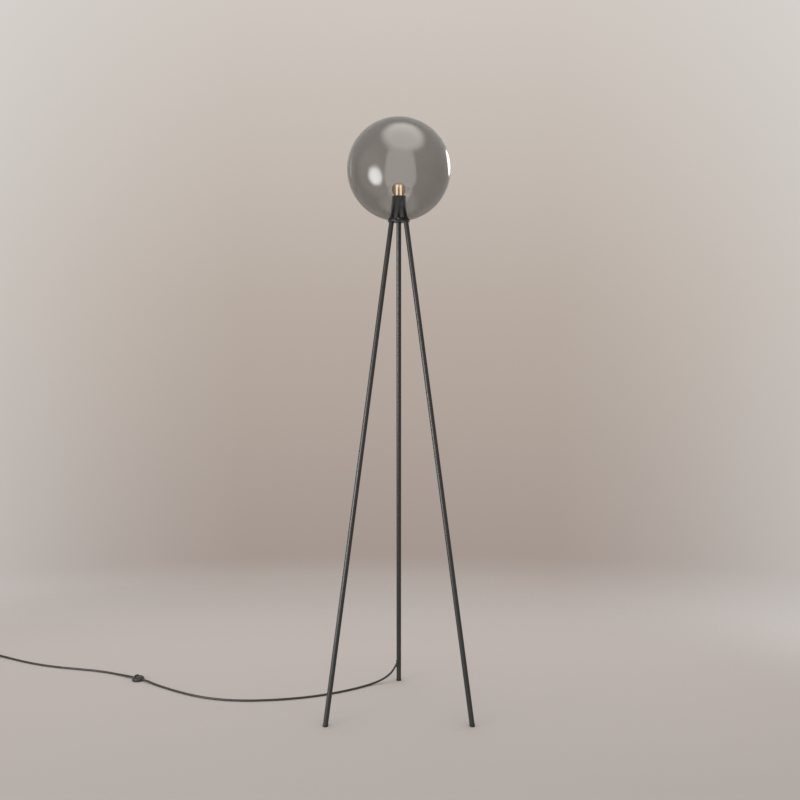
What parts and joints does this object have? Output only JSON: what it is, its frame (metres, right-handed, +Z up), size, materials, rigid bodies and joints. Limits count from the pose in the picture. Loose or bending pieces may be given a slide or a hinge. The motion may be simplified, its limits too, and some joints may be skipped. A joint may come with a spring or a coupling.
{
  "type": "globe floor lamp",
  "caption": "Tripod floor lamp: thin black legs under a cast hub, a smoked glass globe over a small clear bulb, and a mains cord with inline switch.",
  "frame": {"origin": "on the floor, where the lamp's vertical axis meets it, in the middle of the circle of the three feet", "axes": "+Z up along the lamp's axis; +Y towards the rear leg, which the cord leaves; +X to the right seen from the front"},
  "size_m": [1.3974, 0.5285, 1.4277],
  "materials": {
    "black_paint": "satin powder coat",
    "smoked_glass": "clear polished, warm grey tint",
    "clear_glass": "clear polished",
    "bulb_glass": "clear polished, faint grey brown tint",
    "black_rubber": "matt",
    "black_plastic": "fine satin",
    "cable_sheath": "smooth satin sheath",
    "ceramic": "glazed ceramic",
    "brass": "bare",
    "steel": "zinc plated",
    "nylon": "natural",
    "filament": "warm phosphor coating",
    "brown_core": "smooth insulation",
    "blue_core": "smooth insulation"
  },
  "bodies": {
    "stand": {"leg_left": "black_paint", "leg_right": "black_paint", "leg_rear": "black_paint", "glide_left": "black_rubber", "glide_right": "black_rubber", "glide_rear": "black_rubber", "leg_screws": "black_paint", "tripod_hub": "black_paint", "rim_ring": "black_paint", "shade_gasket": "black_rubber", "holder_post": "steel", "post_screws": "steel", "lampholder_bracket": "steel", "lampholder": "ceramic", "lampholder_screws": "steel", "lampholder_contacts": "brass", "inner_cable": "cable_sheath", "live_core": "brown_core", "neutral_core": "blue_core", "cable_stop": "nylon", "cable_grommet": "black_rubber", "switch_base": "black_plastic", "switch_cover": "black_plastic", "switch_pivot": "steel", "switch_terminals": "brass", "switch_screws": "steel", "cord_leg_to_switch": "cable_sheath", "cord_coil": "cable_sheath", "cord_tie": "black_plastic", "cord_switch_to_coil": "cable_sheath", "cord_coil_to_plug": "cable_sheath", "plug_strain_relief": "black_rubber", "plug_body": "black_plastic", "plug_pins": "steel", "plug_pin_sleeves": "black_plastic"},
    "shade": {"globe_shade": "smoked_glass"},
    "bulb": {"bulb_base": "ceramic", "bulb_pins": "steel", "bulb_envelope": "bulb_glass", "bulb_filaments": "filament", "bulb_stem": "clear_glass", "bulb_support_wire": "steel"},
    "rocker": {"switch_rocker": "black_plastic"}
  },
  "joints": [
    {"name": "shade_lift", "type": "slide", "parent": "stand", "child": "shade", "axis": [0, 0, 1], "range_m": [0, 0.25]},
    {"name": "bulb_pull", "type": "slide", "parent": "stand", "child": "bulb", "axis": [0, 0, 1], "range_m": [0, 0.045]},
    {"name": "rocker_tilt", "type": "hinge", "parent": "stand", "child": "rocker", "pos_m": [-0.681, 0.195, 0.008], "axis": [-0.515, -0.8572, 0], "range_deg": [0, 20]}
  ]
}
